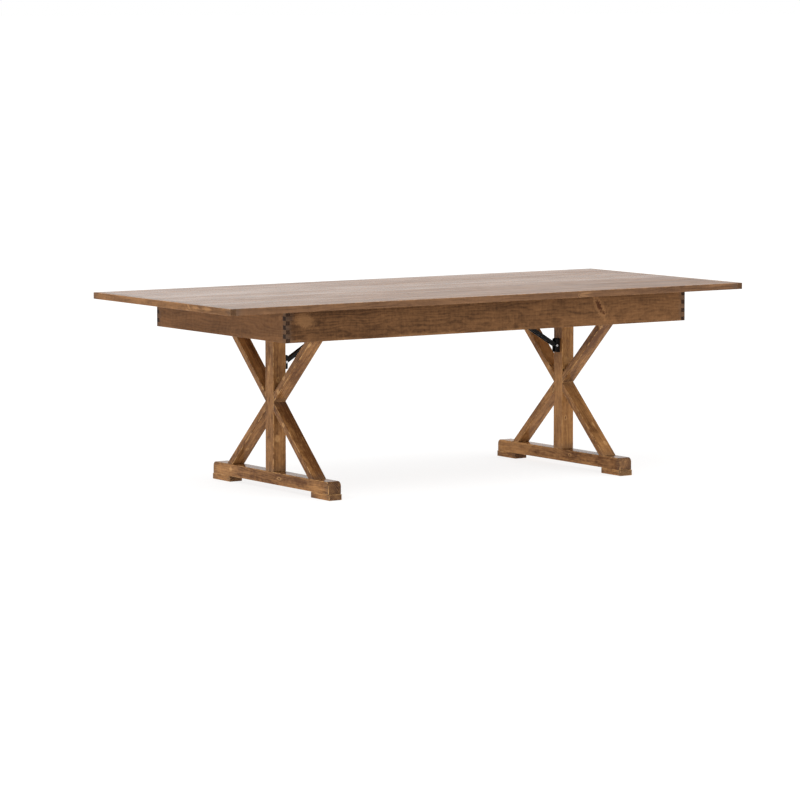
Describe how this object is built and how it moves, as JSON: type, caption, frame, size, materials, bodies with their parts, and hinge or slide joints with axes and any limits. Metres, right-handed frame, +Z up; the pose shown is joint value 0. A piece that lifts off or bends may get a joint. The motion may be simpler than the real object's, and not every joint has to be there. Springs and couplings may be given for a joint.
{
  "type": "folding dining table",
  "caption": "Long planked dining table on a finger-jointed apron, with X-braced trestle legs that fold flat under the top on braced hinges.",
  "frame": {"origin": "on the floor, under the middle of the table", "axes": "+X along the table to its right end, +Y from the front long side to the back, +Z up"},
  "size_m": [2.4384, 1.0224, 0.762],
  "materials": {
    "tabletop_planks": "satin, stained pine",
    "tabletop_end_boards": "satin, stained pine",
    "apron_boards": "satin, stained pine",
    "inner_boards": "plain pine",
    "leg_timber": "satin, stained pine",
    "black_steel": "black powder coat",
    "zinc_steel": "bright zinc"
  },
  "bodies": {
    "tabletop": {"back_apron": "apron_boards", "back_cleat": "inner_boards", "corner_blocks": "inner_boards", "front_apron": "apron_boards", "front_cleat": "inner_boards", "left_apron": "apron_boards", "left_batten": "inner_boards", "left_brace_track": "black_steel", "left_end_board": "tabletop_end_boards", "left_hinge_plate_back": "black_steel", "left_hinge_plate_front": "black_steel", "middle_batten": "inner_boards", "plank_1": "tabletop_planks", "plank_2": "tabletop_planks", "plank_3": "tabletop_planks", "plank_4": "tabletop_planks", "plank_5": "tabletop_planks", "plank_6": "tabletop_planks", "plank_7": "tabletop_planks", "right_apron": "apron_boards", "right_batten": "inner_boards", "right_brace_track": "black_steel", "right_end_board": "tabletop_end_boards", "right_hinge_plate_back": "black_steel", "right_hinge_plate_front": "black_steel", "top_steel_screws": "zinc_steel", "top_wood_screws": "zinc_steel"},
    "left_leg": {"left_brace_bracket": "black_steel", "left_brace_rivet": "zinc_steel", "left_bracket_screws": "zinc_steel", "left_leg_foot_beam": "leg_timber", "left_leg_foot_pad_back": "leg_timber", "left_leg_foot_pad_front": "leg_timber", "left_leg_lower_diagonal_back": "leg_timber", "left_leg_lower_diagonal_front": "leg_timber", "left_leg_pivot_pins": "zinc_steel", "left_leg_post": "leg_timber", "left_leg_screws": "zinc_steel", "left_leg_top_rail": "leg_timber", "left_leg_upper_diagonal_back": "leg_timber", "left_leg_upper_diagonal_front": "leg_timber"},
    "left_brace": {"left_brace_bar": "black_steel", "left_brace_track_pin": "zinc_steel"},
    "right_leg": {"right_brace_bracket": "black_steel", "right_brace_rivet": "zinc_steel", "right_bracket_screws": "zinc_steel", "right_leg_foot_beam": "leg_timber", "right_leg_foot_pad_back": "leg_timber", "right_leg_foot_pad_front": "leg_timber", "right_leg_lower_diagonal_back": "leg_timber", "right_leg_lower_diagonal_front": "leg_timber", "right_leg_pivot_pins": "zinc_steel", "right_leg_post": "leg_timber", "right_leg_screws": "zinc_steel", "right_leg_top_rail": "leg_timber", "right_leg_upper_diagonal_back": "leg_timber", "right_leg_upper_diagonal_front": "leg_timber"},
    "right_brace": {"right_brace_bar": "black_steel", "right_brace_track_pin": "zinc_steel"}
  },
  "joints": [
    {"name": "left_leg_fold", "type": "hinge", "parent": "tabletop", "child": "left_leg", "pos_m": [-0.6985, 0, 0.6676], "axis": [0, -1, 0], "range_deg": [0, 90]},
    {"name": "left_brace_swing", "type": "hinge", "parent": "left_leg", "child": "left_brace", "pos_m": [-0.655, 0, 0.498], "axis": [0, 1, 0], "range_deg": [0, 120]},
    {"name": "right_leg_fold", "type": "hinge", "parent": "tabletop", "child": "right_leg", "pos_m": [0.6985, 0, 0.6676], "axis": [0, 1, 0], "range_deg": [0, 90]},
    {"name": "right_brace_swing", "type": "hinge", "parent": "right_leg", "child": "right_brace", "pos_m": [0.655, 0, 0.498], "axis": [0, -1, 0], "range_deg": [0, 120]}
  ],
  "couplings": [
    {"joint": "left_brace_swing", "follows": "left_leg_fold", "ratio": 1.3281},
    {"joint": "right_brace_swing", "follows": "right_leg_fold", "ratio": 1.3281}
  ]
}
